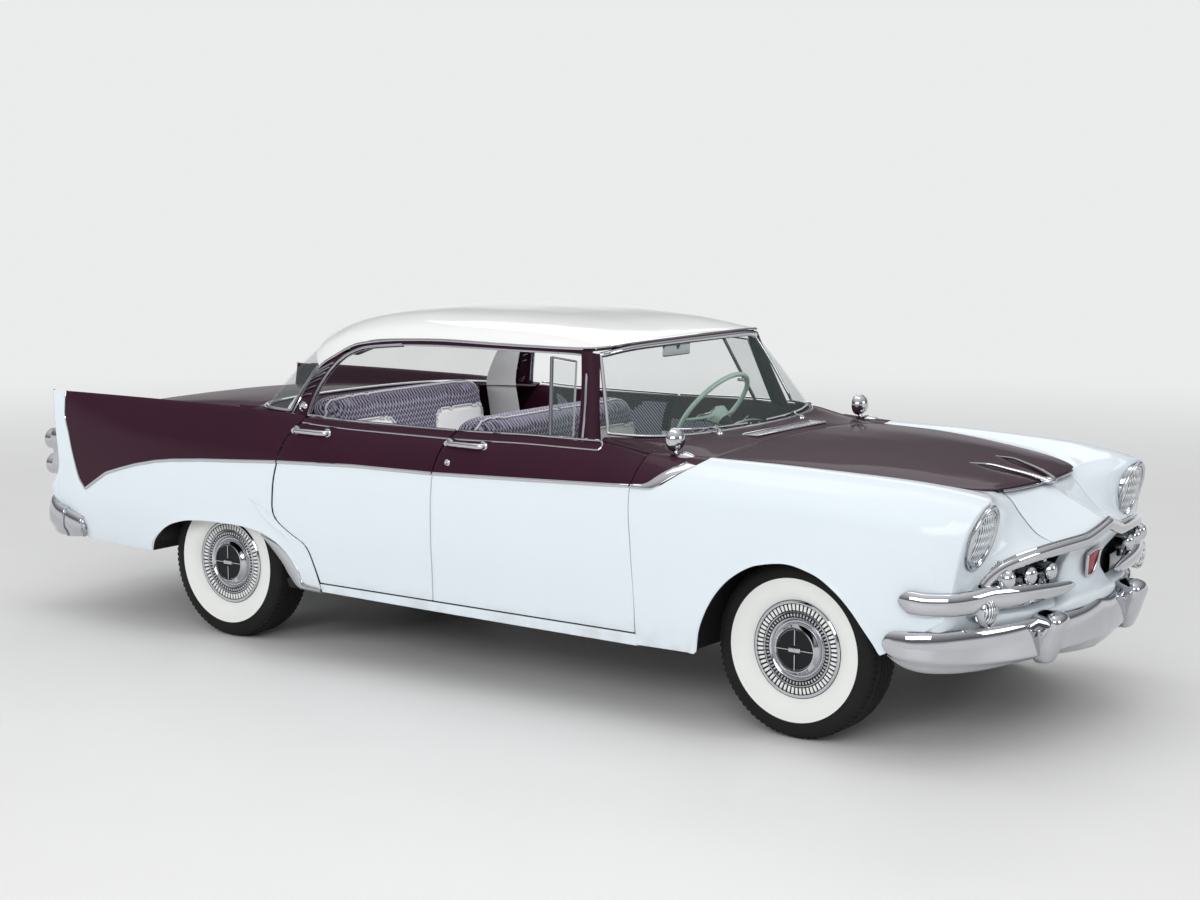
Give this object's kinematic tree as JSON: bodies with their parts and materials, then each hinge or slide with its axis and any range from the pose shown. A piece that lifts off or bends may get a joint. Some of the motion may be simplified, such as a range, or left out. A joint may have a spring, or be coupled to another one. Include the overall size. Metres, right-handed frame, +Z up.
{
  "type": "four-door hardtop car",
  "caption": "Full-size 1950s two-tone hardtop car with tail fins, rolling wheels, steering, hinged doors, hood and trunk lid.",
  "frame": {"origin": "on the floor under the centre of the car's box", "axes": "+X to the front, +Y to the car's left, +Z up"},
  "size_m": [5.385, 1.897, 1.545],
  "materials": {
    "paint_pale": "gloss",
    "paint_plum": "gloss",
    "paint_cream": "gloss",
    "chrome": "polished",
    "chassis_black": "satin",
    "engine_paint": "satin",
    "plain_steel": "satin",
    "floor_mat": "matte",
    "upholstery": "woven",
    "glass": "clear",
    "lamp_glass": "ribbed",
    "red_lens": "gloss",
    "tyre": "matte",
    "wheel_cover": "polished",
    "pale_plastic": "gloss"
  },
  "bodies": {
    "body": {"chassis_frame": "chassis_black", "front_suspension": "chassis_black", "rear_axle": "chassis_black", "engine_and_gearbox": "engine_paint", "fuel_tank_and_exhaust": "plain_steel", "floor_pan": "floor_mat", "front_fenders": "paint_pale", "rear_quarters": "paint_pale", "cowl": "paint_plum", "wheelhouses": "chassis_black", "roof": "paint_cream", "windshield": "glass", "rear_window": "glass", "rear_deck": "paint_plum", "rear_panel": "paint_pale", "nose_panel": "paint_pale", "headlights": "lamp_glass", "grille": "chrome", "parking_lamps": "lamp_glass", "taillights": "red_lens", "front_bumper": "chrome", "rear_bumper": "chrome", "front_seat": "upholstery", "rear_seat": "upholstery", "steering_column": "paint_plum", "dashboard": "paint_plum", "spotlights": "chrome"},
    "hood": {"hood": "paint_plum"},
    "trunk_lid": {"trunk_lid": "paint_plum"},
    "front_door_left": {"front_door_left": "paint_pale", "vent_window_left": "glass"},
    "front_door_right": {"front_door_right": "paint_pale", "vent_window_right": "glass"},
    "rear_door_left": {"rear_door_left": "paint_pale"},
    "rear_door_right": {"rear_door_right": "paint_pale"},
    "steering_wheel": {"steering_wheel": "pale_plastic"},
    "knuckle_left": {"steering_knuckle_left": "chassis_black"},
    "knuckle_right": {"steering_knuckle_right": "chassis_black"},
    "wheel_front_left": {"tyre_front_left": "tyre", "wheel_front_left": "wheel_cover"},
    "wheel_front_right": {"tyre_front_right": "tyre", "wheel_front_right": "wheel_cover"},
    "wheel_rear_left": {"tyre_rear_left": "tyre", "wheel_rear_left": "wheel_cover"},
    "wheel_rear_right": {"tyre_rear_right": "tyre", "wheel_rear_right": "wheel_cover"}
  },
  "joints": [
    {"name": "steer_right", "type": "hinge", "parent": "body", "child": "knuckle_right", "pos_m": [1.71, -0.6875, 0.35], "axis": [0, 0, 1], "range_deg": [-32, 32]},
    {"name": "steer_left", "type": "hinge", "parent": "body", "child": "knuckle_left", "pos_m": [1.71, 0.6875, 0.35], "axis": [0, 0, 1], "range_deg": [-32, 32]},
    {"name": "steering_wheel_turn", "type": "hinge", "parent": "body", "child": "steering_wheel", "pos_m": [0.56, 0.35, 1.085], "axis": [-0.788, 0, 0.6157], "range_deg": [-640, 640]},
    {"name": "roll_front_left", "type": "hinge", "parent": "knuckle_left", "child": "wheel_front_left", "pos_m": [1.71, 0.7475, 0.35], "axis": [0, 1, 0], "continuous": true},
    {"name": "roll_front_right", "type": "hinge", "parent": "knuckle_right", "child": "wheel_front_right", "pos_m": [1.71, -0.7475, 0.35], "axis": [0, 1, 0], "continuous": true},
    {"name": "roll_rear_left", "type": "hinge", "parent": "body", "child": "wheel_rear_left", "pos_m": [-1.338, 0.755, 0.35], "axis": [0, 1, 0], "continuous": true},
    {"name": "roll_rear_right", "type": "hinge", "parent": "body", "child": "wheel_rear_right", "pos_m": [-1.338, -0.755, 0.35], "axis": [0, 1, 0], "continuous": true},
    {"name": "front_door_left_swing", "type": "hinge", "parent": "body", "child": "front_door_left", "pos_m": [1.035, 0.9485, 0.7], "axis": [0, 0, -1], "range_deg": [0, 65]},
    {"name": "front_door_right_swing", "type": "hinge", "parent": "body", "child": "front_door_right", "pos_m": [1.035, -0.9485, 0.7], "axis": [0, 0, 1], "range_deg": [0, 65]},
    {"name": "rear_door_left_swing", "type": "hinge", "parent": "body", "child": "rear_door_left", "pos_m": [-0.015, 0.9495, 0.7], "axis": [0, 0, -1], "range_deg": [0, 65]},
    {"name": "rear_door_right_swing", "type": "hinge", "parent": "body", "child": "rear_door_right", "pos_m": [-0.015, -0.9495, 0.7], "axis": [0, 0, 1], "range_deg": [0, 65]},
    {"name": "hood_lift", "type": "hinge", "parent": "body", "child": "hood", "pos_m": [1.242, 0, 1.073], "axis": [0, -1, 0], "range_deg": [0, 45]},
    {"name": "trunk_lid_lift", "type": "hinge", "parent": "body", "child": "trunk_lid", "pos_m": [-1.447, 0, 1.062], "axis": [0, 1, 0], "range_deg": [0, 55]}
  ],
  "couplings": [
    {"joint": "steer_left", "follows": "steer_right", "ratio": 1},
    {"joint": "steering_wheel_turn", "follows": "steer_right", "ratio": 20}
  ]
}
